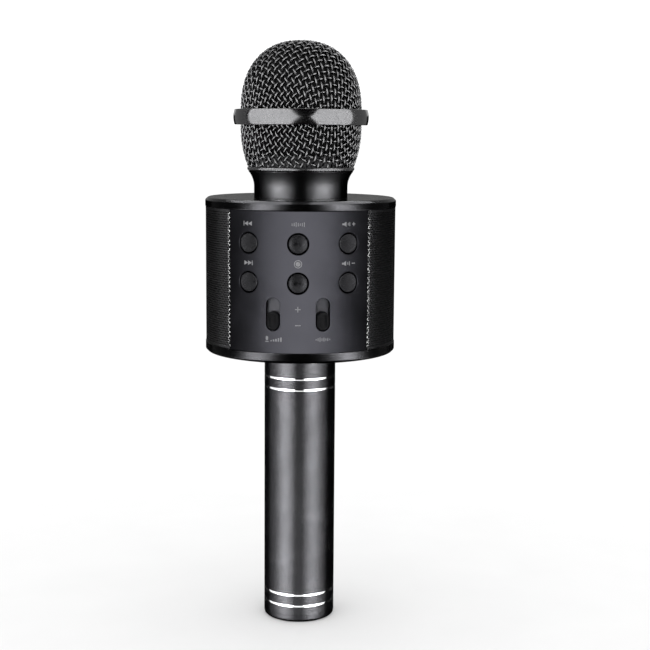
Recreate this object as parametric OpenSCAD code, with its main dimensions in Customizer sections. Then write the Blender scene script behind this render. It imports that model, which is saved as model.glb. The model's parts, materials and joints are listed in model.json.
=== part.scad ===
// Wireless karaoke microphone: tube handle with the battery inside, a round
// speaker drum with a control panel, and a screw-on woven ball grille.
// +Z runs up the handle, the control panel faces -Y, and the origin is at the
// centre of the handle's bottom face.

/* [Handle] */
// Outer diameter of the handle tube
handle_d = 30.2; // [28:0.1:32]
// Height of the drum's underside above the base
handle_h = 116.5; // [112:0.5:125]
// Wall thickness of the handle tube
handle_wall = 1.6; // [1.2:0.1:2]
// Height of the visible part of the bottom cap
end_cap_h = 3; // [2:0.1:3]
// Height of one bright trim ring
trim_h = 1.1; // [0.8:0.1:1.4]

/* [Drum] */
// Outer diameter of the speaker drum
drum_d = 80; // [78:0.5:84]
// Height of the drum
drum_h = 64.5; // [62.5:0.5:68]
// Height of the rim below the panels
bottom_rim_h = 4.1; // [3.5:0.1:5]
// Height of the rim above the panels
top_rim_h = 3.8; // [3:0.1:5]
// Angle that the front panel covers
panel_angle = 87; // [84:1:90]
// Thickness of the curved panels
panel_t = 1.6; // [1.4:0.1:1.8]

/* [Controls] */
// Diameter of a button cap
button_d = 8.1; // [7.5:0.1:8.3]
// Gap around a button cap
button_gap = 0.3; // [0.2:0.05:0.4]
// How far a button travels
button_travel = 0.6; // [0.3:0.1:0.6]
// Angle between two columns of buttons
button_step = 30; // [29:0.5:31]
// Height of the upper row of buttons
upper_row_z = 164.3; // [163.5:0.1:165]
// Height of the lower row of buttons
lower_row_z = 148.7; // [148.7:0.1:149.5]
// Angle from the centre line to each slider
slider_angle = 14.5; // [14:0.1:15]
// Width of a slider's slot
slot_w = 5.8; // [5.4:0.1:6]
// Height of a slider's slot
slot_h = 13.2; // [12.8:0.1:13.4]
// Height of a slider's thumb piece
thumb_h = 7.8; // [7:0.1:8]

/* [Head] */
// Largest diameter of the woven grille
grille_d = 50.6; // [49:0.1:51]
// Height of the neck between drum and grille
neck_h = 10.8; // [10:0.1:12]
// Height of the band around the grille
band_h = 6.4; // [6:0.1:7]
// Largest diameter of the band
band_d = 56.4; // [55:0.1:57]
// Thickness of the woven mesh
mesh_t = 0.9; // [0.7:0.1:1.1]

/* [Hidden] */
$fn = 96;
BUTTONS = ["previous_button", "next_button", "scan_button", "record_button",
    "volume_up_button", "volume_down_button"];
SLIDERS = ["mic_volume_slider", "remix_slider"];

eps = 0.01;
handle_r = handle_d / 2;
handle_bore_r = handle_r - handle_wall;
trim_z = [7.05, 11.85, handle_h - 15.55, handle_h - 10.95];
trim_depth = 0.6;

drum_r = drum_d / 2;
drum_top_z = handle_h + drum_h;
panel_z = handle_h + bottom_rim_h;
panel_top_z = drum_top_z - top_rim_h;
panel_h = panel_top_z - panel_z;
panel_in_r = drum_r - panel_t;
chassis_r = panel_in_r - 0.1;
seam = 0.25;
post_angle = 8;
deck_t = 2;
deck_low = panel_z + 0.1;
deck_high = panel_top_z - deck_t - 0.1;
speaker_r = 20;
speaker_flange_t = 1;
speaker_face_x = drum_r - 9.2;
speaker_z = panel_z + panel_h / 2;
speaker_screw_r = 21.5;
baffle_x = speaker_face_x - speaker_flange_t;
baffle_t = 2;

// Columns at -1, 0 and 1 steps from the centre line, as [step, row height]
BUTTON_PLACES = [[-1, upper_row_z], [-1, lower_row_z], [0, upper_row_z],
    [0, lower_row_z], [1, upper_row_z], [1, lower_row_z]];
button_face_r = drum_r - 0.3;
button_back_r = drum_r - 3.1;
button_flange_t = 0.8;
board_r = drum_r - 6;
board_t = 1;
switch_h = 1.6;
plunger_end_r = button_back_r - button_travel - 0.1;

slot_z = panel_z + 9;
slider_rest_z = slot_z + thumb_h / 2 + 0.05;
shutter_r = panel_in_r - 0.4;
shutter_t = 0.8;
shutter_w = slot_w + 1.6;
pot_r = drum_r - 3.9;

rear_board_y = drum_r - 20;
rear_board_t = 1.6;
board_w = 2 * (baffle_x - baffle_t) - 0.2;
port_front_y = drum_r - 1;

neck_z = drum_top_z;
neck_top_z = neck_z + neck_h;
neck_r = 19.6;
neck_flare_r = 22.1;
neck_plug_r = 16;
neck_screw_r = 17.8;
NECK_SCREW_ANGLES = [60, 180, 300];
spigot_r = 19.4;
spigot_h = 5;
ring_r = 22.4;
ring_h = 1.6;
ring_z = neck_top_z + 0.2;
basket_z = ring_z + ring_h;
grille_r = grille_d / 2;
band_z = 210.8;
basket_arc_r = 45.8;
dome_z = 216.5;
dome_top_z = 245.6;
dome_power = 2.3;

// Turns its children from the front (-Y) round to an angle, positive to +X
module around(angle) {
    rotate([0, 0, angle]) children();
}

// Puts a part that was drawn along +Z onto a radius of the drum, facing out
module facing_out(angle, radius, z) {
    around(angle) translate([0, -radius, z]) rotate([90, 0, 0]) children();
}

// Curved plate between two radii and two heights, centred on an angle
module arc_plate(inner_r, outer_r, z, height, angle, centre = 0) {
    rotate([0, 0, centre - 90 - angle / 2])
        rotate_extrude(angle = angle)
            translate([inner_r, z]) square([outer_r - inner_r, height]);
}

module tube(outer_r, inner_r, z, height) {
    translate([0, 0, z]) difference() {
        cylinder(r = outer_r, h = height);
        translate([0, 0, -1]) cylinder(r = inner_r, h = height + 2);
    }
}

// Upright pill, drawn flat and extruded along +Z
module pill(width, height, depth) {
    spread = (height - width) / 2;
    for (side = [-1, 1])
        translate([0, side * spread, 0]) cylinder(d = width, h = depth);
    translate([-width / 2, -spread, 0]) cube([width, 2 * spread, depth]);
}

/* ---- handle ---- */
module handle_tube() {
    color("#26262a") difference() {
        tube(handle_r, handle_bore_r, end_cap_h, handle_h - end_cap_h);
        for (z = trim_z)
            tube(handle_r + 1, handle_r - trim_depth, z - trim_h / 2, trim_h);
    }
}

module trim_ring(z) {
    color("#e8e8ea")
        tube(handle_r - 0.05, handle_r - trim_depth, z - trim_h / 2, trim_h);
}

plug_r = handle_bore_r - 0.05;
plug_h = 7;
module handle_end_cap() {
    round_r = end_cap_h - 0.4;
    color("#1c1c1f") difference() {
        rotate_extrude() {
            square([handle_r - round_r, end_cap_h]);
            intersection() {
                translate([handle_r - round_r, round_r]) circle(r = round_r, $fn = 48);
                square([handle_r, end_cap_h]);
            }
            translate([0, round_r]) square([handle_r, end_cap_h - round_r]);
            square([plug_r, end_cap_h + plug_h]);
        }
        translate([0, 0, end_cap_h]) cylinder(r = plug_r - 1.6, h = plug_h + 1);
    }
}

module handle_socket() {
    depth = 18;
    color("#2b2b2e") {
        tube(plug_r, plug_r - 2, handle_h - depth, depth + bottom_rim_h);
        tube(plug_r + 6, plug_r - 1, handle_h + 2.1, 1.4);
    }
}

battery_r = 9.2;
battery_h = 65;
battery_z = 18;
sleeve_z = 10.5;
lead_r = 0.7;
lead_bend_r = 10;
lead_end_z = panel_z + 8.4;
positive_lead_x = 3;
negative_lead_x = -10.4;
module battery_sleeve() {
    color("#3a3a3e") difference() {
        tube(handle_bore_r - 0.1, battery_r + 0.2, sleeve_z, handle_h - 30);
        translate([negative_lead_x, 0, 0]) cylinder(r = lead_r + 0.5, h = handle_h);
    }
}

module battery_cell() {
    color("#2f6fb3") translate([0, 0, battery_z]) {
        cylinder(r = battery_r, h = battery_h - 1.5);
        cylinder(r = 3.2, h = battery_h);
    }
}

// Ring of points across a coil wire, at a turn of the coil
spring_turns = 4;
spring_wire_r = 0.45;
spring_sides = 8;
spring_steps = 20;
function spring_point(turn, side) =
    let (angle = 360 * turn, slope = 360 * side / spring_sides,
        coil_r = 7 - 3 * turn / spring_turns + spring_wire_r * cos(slope))
    [coil_r * cos(angle), coil_r * sin(angle),
        3.5 + spring_wire_r * sin(slope) + turn * (battery_z - 4.1) / spring_turns];

module battery_spring() {
    rings = spring_turns * spring_steps;
    last = rings * spring_sides;
    points = [for (i = [0:rings], s = [0:spring_sides - 1])
        spring_point(i / spring_steps, s)];
    walls = [for (i = [0:rings - 1], s = [0:spring_sides - 1])
        let (next = (s + 1) % spring_sides)
        [i * spring_sides + s, i * spring_sides + next,
            (i + 1) * spring_sides + next, (i + 1) * spring_sides + s]];
    color("#b8b8bc") polyhedron(points, concat(walls,
        [[for (s = [spring_sides - 1:-1:0]) s],
            [for (s = [0:spring_sides - 1]) last + s]]));
}

module battery_contact() {
    color("#c9a94e") translate([0, 0, battery_z + battery_h]) {
        cylinder(r = 4, h = 0.6);
        translate([-1, -1, 0.6]) cube([2, 2, 4]);
    }
}

// Wire that runs upright from one height, bends back and ends on the rear board
module wire(r, start_z, end_z, bend_r) {
    up = sign(end_z - start_z);
    bend_z = end_z - up * bend_r;
    translate([0, 0, min(start_z, bend_z)]) cylinder(r = r, h = abs(bend_z - start_z));
    translate([0, bend_r, bend_z]) mirror([0, 0, up < 0 ? 1 : 0]) rotate([90, 0, -90])
        rotate_extrude(angle = 90) translate([bend_r, 0]) circle(r = r, $fn = 24);
    translate([0, bend_r, end_z]) rotate([-90, 0, 0]) cylinder(r = r, h = rear_board_y - bend_r);
}

module battery_leads() {
    color("#c8342c") translate([positive_lead_x, 0, 0])
        wire(lead_r, battery_z + battery_h + 0.8, lead_end_z, lead_bend_r);
    color("#202020") translate([negative_lead_x, 0, 0])
        wire(lead_r, end_cap_h + 0.2, lead_end_z, lead_bend_r);
}

/* ---- drum shells ---- */
SCREW_ANGLES = [45, 135, 225, 315];
cover_screw_r = 31;
module drum_bottom_cover() {
    chamfer = 0.9;
    color("#161618") difference() {
        rotate_extrude() difference() {
            polygon([[0, handle_h], [drum_r - chamfer, handle_h],
                [drum_r, handle_h + chamfer], [drum_r, panel_z], [0, panel_z]]);
            translate([0, handle_h + 2]) square([drum_r - panel_t - 1, 20]);
        }
        translate([0, 0, handle_h - 1]) cylinder(r = handle_bore_r, h = 10);
        for (a = SCREW_ANGLES)
            around(a) translate([0, -cover_screw_r, handle_h - 1]) {
                cylinder(r = 1.7, h = 10);
                cylinder(r = 3.2, h = 1.9);
            }
    }
}

module drum_top_cover() {
    chamfer = 1.2;
    color("#161618") difference() {
        rotate_extrude() difference() {
            polygon([[0, panel_top_z], [drum_r, panel_top_z],
                [drum_r, drum_top_z - chamfer], [drum_r - chamfer, drum_top_z],
                [0, drum_top_z]]);
            translate([0, panel_top_z - 1])
                square([drum_r - panel_t - 1, top_rim_h - 1]);
        }
        translate([0, 0, panel_top_z - 1]) cylinder(r = neck_plug_r, h = 10);
        for (a = NECK_SCREW_ANGLES)
            around(a) translate([0, -neck_screw_r, panel_top_z - 1]) cylinder(r = 1.2, h = 10);
    }
}

module chassis_deck(z) {
    tube(chassis_r - 1.2, 20.5, z, deck_t);
}

// Upright wall that carries one loudspeaker
module speaker_baffle(side) {
    intersection() {
        translate([0, 0, deck_low + 0.5]) cylinder(r = chassis_r - 0.3, h = deck_high - deck_low + 1);
        translate([side > 0 ? baffle_x - baffle_t : -baffle_x, -40, 0])
            cube([baffle_t, 80, drum_top_z]);
    }
}

module drum_chassis() {
    color("#34343a") difference() {
        union() {
            chassis_deck(deck_low);
            chassis_deck(deck_high);
            for (a = SCREW_ANGLES)
                arc_plate(board_r + 0.02, chassis_r, deck_low,
                    deck_high + deck_t - deck_low, post_angle, a);
            for (side = [-1, 1]) speaker_baffle(side);
        }
        for (a = SCREW_ANGLES)
            around(a) translate([0, -cover_screw_r, handle_h]) cylinder(r = 1.2, h = 10);
        for (side = [-1, 1]) on_side(side) translate([0, 0, -20]) {
            cylinder(r = speaker_r + 0.3, h = 40);
            for (a = SCREW_ANGLES)
                rotate([0, 0, a]) translate([speaker_screw_r, 0, 0]) cylinder(r = 0.9, h = 40);
        }
    }
}

module button_hole(angle, z) {
    facing_out(angle, panel_in_r - 2, z)
        cylinder(d = button_d + 2 * button_gap, h = 10);
}

module front_panel() {
    color("#4a4a50") difference() {
        arc_plate(panel_in_r, drum_r, panel_z, panel_h, panel_angle);
        for (place = BUTTON_PLACES) button_hole(place[0] * button_step, place[1]);
        for (side = [-1, 1])
            facing_out(side * slider_angle, panel_in_r - 2, slot_z + slot_h / 2)
                pill(slot_w, slot_h, 10);
    }
}

usb_z = panel_z + 46.4;
card_z = panel_z + 37.9;
charge_z = panel_z + 29.9;
aux_z = panel_z + 21.4;
switch_z = panel_z + 10.9;
switch_travel = 2.6;
module rear_panel() {
    color("#3c3c42") difference() {
        arc_plate(panel_in_r, drum_r, panel_z, panel_h, panel_angle, 180);
        translate([-6.9, drum_r - 5, usb_z - 2.9]) cube([13.8, 10, 5.8]);
        translate([-6.2, drum_r - 5, card_z - 1.2]) cube([12.4, 10, 2.4]);
        translate([-4.6, drum_r - 5, charge_z - 1.9]) cube([9.2, 10, 3.8]);
        facing_out(180, drum_r - 5, aux_z) cylinder(r = 3.2, h = 10);
        facing_out(180, drum_r - 5, switch_z) rotate([0, 0, 90])
            pill(3.6, 8, 10);
    }
}

grille_t = 0.8;
module side_grille(side) {
    span = 180 - panel_angle - 2 * seam;
    color("#202022") arc_plate(drum_r - 0.2 - grille_t, drum_r - 0.2, panel_z + 0.1,
        panel_h - 0.2, span, 90 * side);
}

/* ---- speakers ---- */
// Places a speaker part drawn with its face up onto a side of the drum
module on_side(side) {
    facing_out(90 * side, speaker_face_x, speaker_z) children();
}

module speaker_frame(side) {
    color("#8d8f94") on_side(side) difference() {
        union() {
            translate([0, 0, -speaker_flange_t])
                cylinder(r = speaker_r + 3, h = speaker_flange_t);
            translate([0, 0, -8]) cylinder(r1 = 12.5, r2 = speaker_r, h = 7);
        }
        translate([0, 0, -7]) cylinder(r1 = 11.7, r2 = speaker_r - 1, h = 7 + eps);
        translate([0, 0, -10]) cylinder(r = 6.4, h = 11);
        for (a = SCREW_ANGLES)
            rotate([0, 0, a]) translate([speaker_screw_r, 0, -5]) cylinder(r = 0.9, h = 8);
    }
}

module speaker_cone(side) {
    color("#1a1a1a") on_side(side) {
        rotate_extrude() difference() {
            translate([16.5, -0.2]) circle(r = 2);
            translate([16.5, -0.2]) circle(r = 1.4);
            translate([0, -5]) square([30, 4.8]);
        }
        rotate_extrude() polygon([[0, -2.2], [3, -2.8], [6.3, -5.1], [14.2, 0.2], [15.2, 0.2], [15.2, -0.5],
            [6.3, -6], [5.6, -6], [5.6, -5.5], [2.8, -3.4], [0, -2.8]]);
    }
}

module speaker_magnet(side) {
    color("#55575c") on_side(side) {
        translate([0, 0, -15]) cylinder(r = 11.5, h = 6.9);
        translate([0, 0, -8.2]) cylinder(r = 5, h = 2);
    }
}

module speaker_screws() {
    color("#a8a8ac") for (side = [-1, 1])
        on_side(side) for (a = SCREW_ANGLES)
            rotate([0, 0, a]) translate([speaker_screw_r, 0, 0.05]) {
                cylinder(r = 1.5, h = 0.9);
                translate([0, 0, -4]) cylinder(r = 0.8, h = 4.5);
            }
}

/* ---- controls ---- */
module button(place) {
    height = button_face_r - button_back_r;
    dish_r = 22;
    dish_depth = 0.35;
    color("#17171a") facing_out(place[0] * button_step, button_back_r, place[1])
        difference() {
            union() {
                cylinder(d = button_d, h = height);
                cylinder(d = button_d + 1.7, h = button_flange_t);
            }
            translate([0, 0, height + dish_r - dish_depth]) sphere(r = dish_r);
        }
}

module button_board() {
    color("#1f5c3a")
        arc_plate(board_r - board_t, board_r, panel_z + 2.6, panel_h - 5.2, 90 + post_angle - 1);
}

module tact_switches() {
    color("#9c9ca2") for (place = BUTTON_PLACES)
        facing_out(place[0] * button_step, board_r, place[1]) {
            translate([-3, -3, 0]) cube([6, 6, switch_h]);
            cylinder(r = 1.7, h = plunger_end_r - board_r);
        }
}

lever_depth = 1;
module slide_pot(side) {
    color("#7d7d84") difference() {
        arc_plate(board_r + 0.02, pot_r, slot_z - 6, slot_h + 12, 9, side * slider_angle);
        facing_out(side * slider_angle, pot_r - lever_depth - 0.3, slot_z + slot_h / 2)
            pill(1.8, slot_h - 1, 5);
    }
}

module slider_knob(side) {
    thumb_w = slot_w - 0.5;
    color("#151517") facing_out(side * slider_angle, 0, slider_rest_z) {
        translate([0, 0, shutter_r - eps])
            pill(thumb_w, thumb_h, drum_r + 0.3 - shutter_r);
        translate([-shutter_w / 2, -10, shutter_r - shutter_t])
            cube([shutter_w, 20.4, shutter_t]);
        translate([-0.7, -1.5, pot_r - lever_depth])
            cube([1.4, 3, shutter_r - pot_r + lever_depth - shutter_t + eps]);
    }
}

/* ---- rear electronics ---- */
module main_board() {
    color("#1f5c3a") difference() {
        translate([-board_w / 2, rear_board_y, panel_z + 3])
            cube([board_w, rear_board_t, panel_h - 6]);
        for (x = [-23, 23], z = [panel_z + 6, panel_top_z - 6])
            translate([x, rear_board_y - 1, z]) rotate([-90, 0, 0]) cylinder(r = 1.4, h = 5);
    }
}

module board_chips() {
    // Each chip is [x, height above the panel's lower edge, width]
    color("#1b1b1d") for (chip = [[-6, 31.4, 12], [9, 29.4, 7], [-8, 15.4, 6]])
        translate([chip[0] - chip[2] / 2, rear_board_y - 1.4, panel_z + chip[1] - chip[2] / 2])
            cube([chip[2], 1.4, chip[2]]);
}

module board_capacitors() {
    color("#6d6f78") for (x = [10, 17])
        translate([x, rear_board_y, panel_z + 15.4]) rotate([90, 0, 0]) cylinder(r = 2.8, h = 6);
}

// Metal-cased socket on the rear board, open to the back
module socket(width, height, z, depth) {
    wall = 0.4;
    translate([-width / 2, port_front_y - depth, z - height / 2]) difference() {
        cube([width, depth, height]);
        translate([wall, 1, wall])
            cube([width - 2 * wall, depth, height - 2 * wall]);
    }
}

board_back_y = rear_board_y + rear_board_t;
module usb_port() {
    depth = port_front_y - board_back_y;
    color("#c4c4c8") socket(13.2, 5.2, usb_z, depth);
    color("#e9e9ea") translate([-5.6, board_back_y + 0.9, usb_z + 0.1])
        cube([11.2, depth - 2, 1.8]);
}

module charge_port() {
    depth = port_front_y - board_back_y;
    color("#c4c4c8") socket(8, 3, charge_z, depth);
    color("#202020") translate([-2.6, board_back_y + 0.9, charge_z - 0.2])
        cube([5.2, depth - 2, 0.6]);
}

module card_slot() {
    color("#c4c4c8") socket(11.8, 1.8, card_z, port_front_y - board_back_y);
}

aux_r = 1.8;
module aux_jack() {
    depth = drum_r - 0.6 - board_back_y;
    color("#252528") difference() {
        union() {
            facing_out(180, board_back_y, aux_z) cylinder(r = 3, h = depth);
            translate([-3.6, board_back_y, aux_z - 3.3]) cube([7.2, 6.8, 6.6]);
        }
        facing_out(180, board_back_y + 1, aux_z) cylinder(r = aux_r, h = 20);
    }
}

module power_switch_body() {
    depth = 11;
    floor_t = 7;
    color("#b5b5ba") difference() {
        translate([-5, board_back_y, switch_z - 2.5]) cube([10, depth, 5]);
        translate([-3.6, board_back_y + floor_t, switch_z - 1.2]) cube([7.2, depth, 2.4]);
    }
}

module power_switch_knob() {
    stem_w = 2.8;
    stem_y = board_back_y + 8;
    face_y = drum_r - 0.3;
    color("#151517") translate([switch_travel / 2, 0, switch_z]) {
        translate([-stem_w / 2, stem_y, -1]) cube([stem_w, face_y - stem_y - 0.5, 2]);
        translate([-stem_w / 2 - 1.6, drum_r - 3.4, -2.2]) cube([stem_w + 3.2, 0.8, 4.4]);
        translate([-stem_w / 2 - 0.2, face_y - 1.6, -1.5]) cube([stem_w + 0.4, 1.6, 3]);
    }
}

/* ---- screws ---- */
// Pan-head screw with its head down
module screw(r, length, head_r, head_h) {
    difference() {
        cylinder(r = head_r, h = head_h);
        for (turn = [0, 90]) rotate([0, 0, turn])
            translate([-head_r * 0.6, -0.25, -1]) cube([head_r * 1.2, 0.5, 1.5]);
    }
    translate([0, 0, head_h - eps]) cylinder(r = r, h = length);
}

module cover_screws() {
    color("#5a5a5e") for (a = SCREW_ANGLES)
        around(a) translate([0, -cover_screw_r, handle_h + 0.15]) screw(1.15, 5.1, 2.9, 0.7);
}

module neck_screws() {
    head_h = 0.8;
    color("#5a5a5e") for (a = NECK_SCREW_ANGLES)
        around(a) translate([0, -neck_screw_r, panel_top_z + top_rim_h - 2 - head_h - 0.02])
            screw(1, 4.5, 1.9, head_h);
}

/* ---- head ---- */
neck_arc_r = 10;
neck_straight_h = 4.2;
module neck_collar() {
    bore_r = 14.6;
    color("#141416") difference() {
        rotate_extrude() difference() {
            union() {
                translate([0, neck_z]) square([neck_flare_r, neck_h]);
                translate([0, neck_top_z]) square([spigot_r, spigot_h]);
                translate([0, neck_z - 2.5]) square([neck_plug_r - 0.1, 3]);
            }
            translate([neck_r + neck_arc_r, neck_z + neck_straight_h])
                circle(r = neck_arc_r, $fn = 128);
            translate([neck_r, neck_z - 1]) square([5, neck_straight_h + 1]);
            translate([0, neck_z - 3]) square([bore_r, neck_h + spigot_h + 4]);
            translate([0, neck_z + 5]) square([bore_r + 2.6, neck_h + spigot_h]);
        }
        for (a = NECK_SCREW_ANGLES)
            around(a) translate([0, -neck_screw_r, neck_z - 1]) cylinder(r = 1.1, h = 4);
    }
}

module grille_seal() {
    color("#101010") tube(spigot_r + 0.9, spigot_r + 0.3, neck_top_z + 0.05, 1.2);
}

module grille_base_ring() {
    color("#9a9aa0") rotate_extrude() {
        translate([spigot_r + 1, ring_z]) square([ring_r - spigot_r - 1.4, ring_h]);
        translate([ring_r - 0.8, ring_z + ring_h / 2]) circle(r = 0.8, $fn = 40);
        translate([spigot_r + 0.3, ring_z + 1.2]) square([1.2, 3.6]);
    }
}

module basket_profile(inset) {
    intersection() {
        translate([grille_r - 0.25 - basket_arc_r, band_z - 0.8])
            circle(r = basket_arc_r - inset, $fn = 256);
        translate([0, basket_z + 0.1]) square([40, band_z - basket_z - 0.2]);
    }
}

module lower_grille() {
    color("#3a3a3d") rotate_extrude() difference() {
        basket_profile(0);
        basket_profile(mesh_t);
        translate([0, basket_z - 1]) square([spigot_r, 4]);
    }
}

// Height and radius on the dome's outline, t from 0 at its foot to 90 at its top
function dome_point(t, inset) = let (p = 2 / dome_power)
    [(grille_r - inset) * pow(cos(t), p),
        dome_z + (dome_top_z - dome_z - inset) * pow(sin(t), p)];

module dome_profile(inset) {
    polygon(concat([[0, dome_z], [grille_r - inset, dome_z]],
        [for (t = [8:4:84]) dome_point(t, inset)], [[0, dome_top_z - inset]]));
}

module upper_grille() {
    color("#3a3a3d") rotate_extrude() intersection() {
        difference() {
            dome_profile(0);
            dome_profile(mesh_t);
        }
        translate([0, band_z + band_h + 0.1]) square([40, 60]);
    }
}

module grille_band() {
    bulge = 0.5;
    inner_r = grille_r - 1.4;
    outer_r = band_d / 2;
    color("#7b7b80") rotate_extrude() translate([0, band_z])
        polygon([[inner_r, 0], [outer_r - bulge, 0], [outer_r - bulge / 4, band_h / 4],
            [outer_r, band_h / 2], [outer_r - bulge / 4, band_h * 3 / 4],
            [outer_r - bulge, band_h], [inner_r, band_h]]);
}

foam_t = 3;
foam_z = basket_z + 5;
module foam_windscreen() {
    gap = mesh_t + 0.5;
    join_z = band_z - 1;
    color("#2a2a2a") rotate_extrude() {
        difference() {
            dome_profile(gap);
            dome_profile(gap + foam_t);
        }
        translate([grille_r - gap - foam_t, join_z])
            square([foam_t - 0.3, dome_z - join_z + 0.1]);
        intersection() {
            difference() {
                basket_profile(gap);
                basket_profile(gap + foam_t);
            }
            translate([0, foam_z]) square([grille_r, band_z]);
        }
    }
}

capsule_r = 9.6;
capsule_z = 210;
holder_z = neck_top_z + spigot_h;
holder_t = 1.4;
holder_in_r = capsule_r + 0.8;
holder_top_z = capsule_z + 6;
module capsule_holder() {
    color("#2f2f33") rotate_extrude() {
        translate([holder_in_r, holder_z]) square([spigot_r - holder_in_r - 0.2, holder_t]);
        translate([holder_in_r, holder_z]) square([holder_t, holder_top_z - holder_z]);
        translate([4, capsule_z - holder_t]) square([holder_in_r - 3, holder_t]);
    }
}

module capsule_mount() {
    out_r = holder_in_r + holder_t;
    color("#1d1d1f") rotate_extrude() {
        translate([out_r + 0.05, holder_top_z - 5]) square([1.6, 8]);
        translate([capsule_r + 0.05, holder_top_z + 0.05]) square([out_r - capsule_r + 1, 2.95]);
    }
}

module mic_capsule() {
    color("#b9a463") translate([0, 0, capsule_z + 0.05]) {
        cylinder(r = capsule_r, h = 13);
        cylinder(r = capsule_r - 2, h = 14);
    }
}

module capsule_cable() {
    cable_r = 1.3;
    color("#202020") wire(cable_r, capsule_z, panel_z + 48.4, 12);
}

/* ---- everything ---- */
handle_tube();
handle_end_cap();
for (i = [0:3]) trim_ring(trim_z[i]);
handle_socket();
battery_sleeve();
battery_cell();
battery_spring();
battery_contact();
battery_leads();
drum_bottom_cover();
drum_top_cover();
drum_chassis();
front_panel();
rear_panel();
side_grille(-1);  // left_grille
side_grille(1);  // right_grille
speaker_frame(-1);  // left_speaker_frame
speaker_cone(-1);  // left_speaker_cone
speaker_magnet(-1);  // left_speaker_magnet
speaker_frame(1);  // right_speaker_frame
speaker_cone(1);  // right_speaker_cone
speaker_magnet(1);  // right_speaker_magnet
for (i = [0:5]) button(BUTTON_PLACES[i]);
for (i = [0, 1]) slider_knob(2 * i - 1);
button_board();
tact_switches();
slide_pot(-1);  // mic_volume_pot
slide_pot(1);  // remix_pot
main_board();
board_chips();
board_capacitors();
usb_port();
charge_port();
card_slot();
aux_jack();
power_switch_body();
power_switch_knob();
cover_screws();
neck_screws();
speaker_screws();
neck_collar();
grille_seal();
grille_base_ring();
lower_grille();
grille_band();
upper_grille();
foam_windscreen();
capsule_holder();
capsule_mount();
mic_capsule();
capsule_cable();
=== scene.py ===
"""Karaoke microphone: meshes, materials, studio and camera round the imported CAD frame."""
import json
from math import acos, copysign, cos, exp, pi, radians, sin, sqrt, tan

import bmesh
import bpy
import numpy as np
from mathutils import Matrix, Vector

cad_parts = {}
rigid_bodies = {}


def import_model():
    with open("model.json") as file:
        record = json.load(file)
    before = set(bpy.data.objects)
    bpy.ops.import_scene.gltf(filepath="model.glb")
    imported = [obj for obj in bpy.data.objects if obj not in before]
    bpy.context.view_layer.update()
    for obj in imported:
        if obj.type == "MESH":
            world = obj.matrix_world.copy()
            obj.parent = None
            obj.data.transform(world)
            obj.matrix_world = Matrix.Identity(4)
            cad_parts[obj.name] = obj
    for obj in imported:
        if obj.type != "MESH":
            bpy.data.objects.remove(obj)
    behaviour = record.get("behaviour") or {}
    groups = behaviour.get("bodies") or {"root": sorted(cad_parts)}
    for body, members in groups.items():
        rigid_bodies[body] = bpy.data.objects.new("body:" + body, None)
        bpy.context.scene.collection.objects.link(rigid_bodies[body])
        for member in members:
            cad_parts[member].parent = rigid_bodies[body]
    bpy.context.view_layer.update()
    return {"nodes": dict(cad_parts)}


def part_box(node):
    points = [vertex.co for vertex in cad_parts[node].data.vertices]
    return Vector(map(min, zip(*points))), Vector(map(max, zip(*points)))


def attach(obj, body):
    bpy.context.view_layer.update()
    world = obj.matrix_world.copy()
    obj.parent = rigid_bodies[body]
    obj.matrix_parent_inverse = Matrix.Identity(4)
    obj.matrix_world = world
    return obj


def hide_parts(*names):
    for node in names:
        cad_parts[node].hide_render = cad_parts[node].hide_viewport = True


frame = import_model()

MM = 0.001
EYE_DISTANCE, EYE_HEIGHT = 0.572, 0.209


def placed(name, data):
    """A new object in the scene."""
    made = bpy.data.objects.new(name, data)
    bpy.context.collection.objects.link(made)
    return made


# ---- camera ----
def make_camera():
    """A long lens a little above the drum's middle, turned slightly to the right."""
    data = bpy.data.cameras.new("camera")
    data.lens = 75.15
    data.sensor_width = 36
    camera = placed("camera", data)
    round_it, yaw, pitch, roll = (radians(a) for a in (1.35, -1.06, 90 - 8.2, 0.42))
    camera.matrix_world = (
        Matrix.Rotation(round_it, 4, "Z")
        @ Matrix.Translation((0, -EYE_DISTANCE, EYE_HEIGHT))
        @ Matrix.Rotation(yaw, 4, "Z")
        @ Matrix.Rotation(pitch, 4, "X")
        @ Matrix.Rotation(roll, 4, "Z")
    )
    bpy.context.scene.camera = camera


make_camera()


# ---- sizes from the frame, in millimetres ----
def low(node):
    """Lowest corner of a CAD node."""
    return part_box(node)[0] / MM


def high(node):
    """Highest corner of a CAD node."""
    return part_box(node)[1] / MM


def centre(node):
    """Middle of a CAD node's box."""
    return (low(node) + high(node)) / 2


# ---- materials ----
# How a noise is stretched to draw it out round the object, or up and down.
ROUND = (0.02, 0.02, 1)
UPRIGHT = (1, 1, 0.03)


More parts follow.
